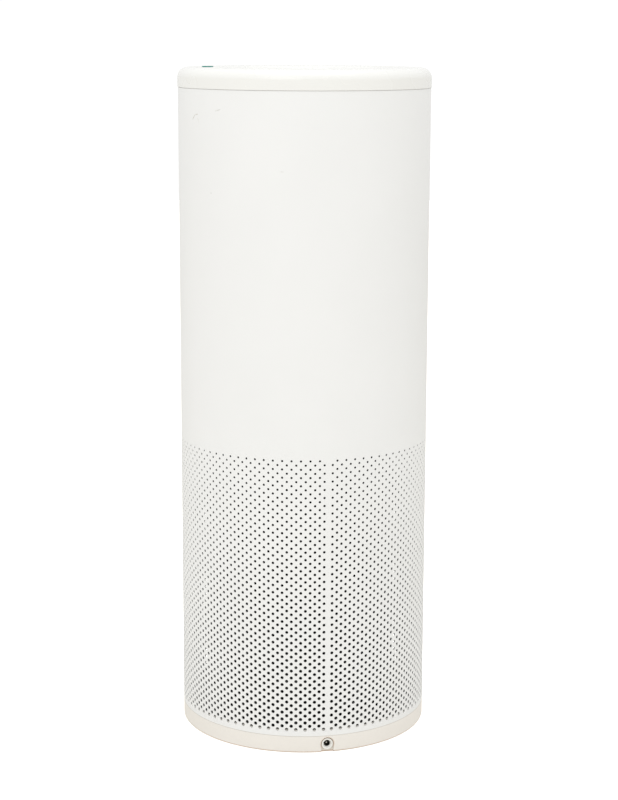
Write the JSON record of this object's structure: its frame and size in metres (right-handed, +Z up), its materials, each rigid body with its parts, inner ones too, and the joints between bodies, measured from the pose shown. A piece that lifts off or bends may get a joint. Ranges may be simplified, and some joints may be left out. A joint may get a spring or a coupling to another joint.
{
  "type": "air purifier",
  "caption": "Tall white cylindrical air purifier with a perforated lower sheet, a rounded top rim with a small button, and a power jack in the base.",
  "frame": {"origin": "centre of the floor circle, under the feet", "axes": "+Z up; -Y towards the back, with the power jack and the sheet's seam; -X towards the power button"},
  "size_m": [0.247, 0.247, 0.657],
  "materials": {
    "white_sheet": "satin powder coat",
    "white_cap": "semi-gloss moulded",
    "warm_white": "satin moulded",
    "teal": "gloss moulded",
    "black_plastic": "fine moulded grain",
    "grey_plastic": "moulded",
    "jack_white": "moulded",
    "nickel": "nickel plated",
    "steel": "zinc plated",
    "magnet": "sintered",
    "copper": "enamelled wire",
    "rubber_grey": "moulded",
    "circuit_board": "solder mask",
    "filter_paper": "pleated fibre",
    "carbon_cloth": "carbon granule cloth",
    "mesh_cloth": "woven nylon",
    "foam": "closed-cell foam",
    "lead_black": "extruded",
    "lens_clear": "frosted"
  },
  "bodies": {
    "housing": {"body_shell": "white_sheet", "base_ring": "warm_white", "rubber_feet": "rubber_grey", "base_screws": "steel", "keeper_plates": "steel", "jack_body": "jack_white", "jack_sleeve": "nickel", "jack_pin": "nickel", "jack_board": "circuit_board", "cage_foot": "black_plastic", "cage_staves": "black_plastic", "cage_hoops": "black_plastic", "fan_deck": "black_plastic", "deck_screws": "steel", "duct_liner": "warm_white", "motor_stator": "steel", "stator_windings": "copper", "motor_bearings": "steel", "motor_mount": "steel", "motor_dampers": "rubber_grey", "motor_screws": "steel", "diffuser": "black_plastic", "diffuser_nose": "black_plastic", "outlet_funnel": "grey_plastic", "outlet_neck": "grey_plastic", "outlet_grille": "white_cap", "grille_cap": "white_cap", "outlet_rim": "white_cap", "top_cap": "white_cap", "cap_screws": "steel", "power_dome": "rubber_grey", "speed_dome": "rubber_grey", "mode_dome": "rubber_grey", "panel_board": "circuit_board", "tact_switches": "black_plastic", "indicator_lenses": "lens_clear", "panel_screws": "steel", "main_board": "circuit_board", "board_components": "black_plastic", "board_screws": "steel", "dc_lead": "lead_black", "motor_lead": "lead_black", "panel_lead": "lead_black", "lead_clips": "grey_plastic"},
    "filter_drawer": {"bottom_cover": "warm_white", "cover_magnets": "magnet", "filter_lower_cap": "grey_plastic", "filter_upper_cap": "grey_plastic", "filter_media": "filter_paper", "carbon_layer": "carbon_cloth", "prefilter_mesh": "mesh_cloth", "filter_core": "grey_plastic", "filter_gasket": "foam"},
    "fan_rotor": {"fan_impeller": "black_plastic", "motor_shaft": "steel", "rotor_bell": "steel", "rotor_magnets": "magnet"},
    "power_key": {"power_button": "teal"},
    "speed_key_body": {"speed_key": "white_cap"},
    "mode_key_body": {"mode_key": "white_cap"}
  },
  "joints": [
    {"name": "filter_slide", "type": "slide", "parent": "housing", "child": "filter_drawer", "axis": [0, 0, 1], "range_m": [-0.325, 0]},
    {"name": "fan_spin", "type": "hinge", "parent": "housing", "child": "fan_rotor", "pos_m": [0, 0, 0.395], "axis": [0, 0, 1], "continuous": true},
    {"name": "power_press", "type": "slide", "parent": "housing", "child": "power_key", "axis": [0, 0, -1], "range_m": [0, 0.0008], "stiffness_N_per_m": 1200, "springref_m": -0.0005, "deforming": ["power_dome"]},
    {"name": "speed_press", "type": "slide", "parent": "housing", "child": "speed_key_body", "axis": [0, 0, -1], "range_m": [0, 0.0008], "stiffness_N_per_m": 1200, "springref_m": -0.0005, "deforming": ["speed_dome"]},
    {"name": "mode_press", "type": "slide", "parent": "housing", "child": "mode_key_body", "axis": [0, 0, -1], "range_m": [0, 0.0008], "stiffness_N_per_m": 1200, "springref_m": -0.0005, "deforming": ["mode_dome"]}
  ]
}
